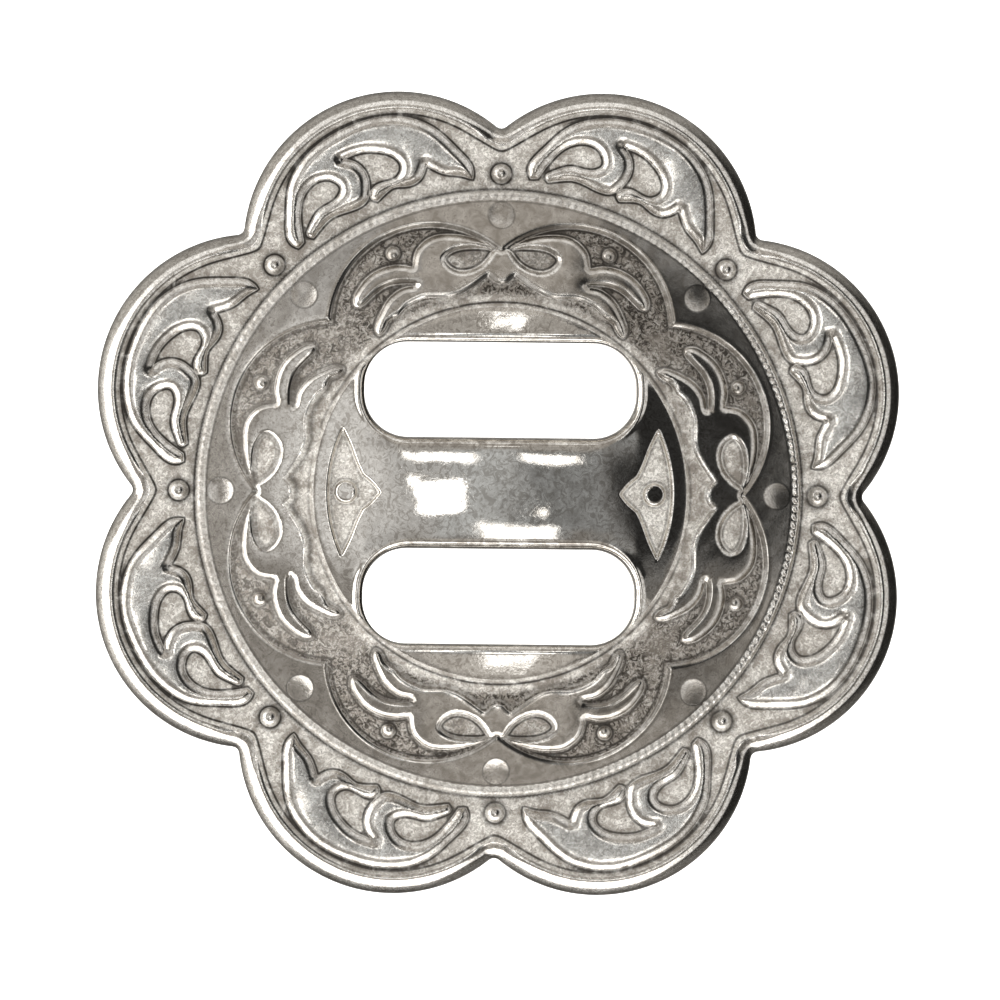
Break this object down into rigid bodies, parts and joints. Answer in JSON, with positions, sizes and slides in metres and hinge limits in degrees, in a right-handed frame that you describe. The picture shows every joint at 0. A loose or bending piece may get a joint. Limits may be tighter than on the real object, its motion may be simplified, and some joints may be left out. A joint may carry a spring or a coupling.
{
  "type": "concho",
  "caption": "Scalloped round cast-metal concho with a domed middle, strap slots either side of a bar, a beaded border and scrollwork relief.",
  "frame": {"origin": "centre of the flat back", "axes": "+X along the bar and the length of the slots, +Y across the slots, +Z out of the ornamented face"},
  "size_m": [0.0424, 0.0424, 0.006],
  "materials": {
    "antique_silver": "cast white metal with an antiqued silver plate: polished raised relief, dull darkened recesses"
  },
  "bodies": {
    "root": {"concho": "antique_silver"}
  },
  "joints": []
}
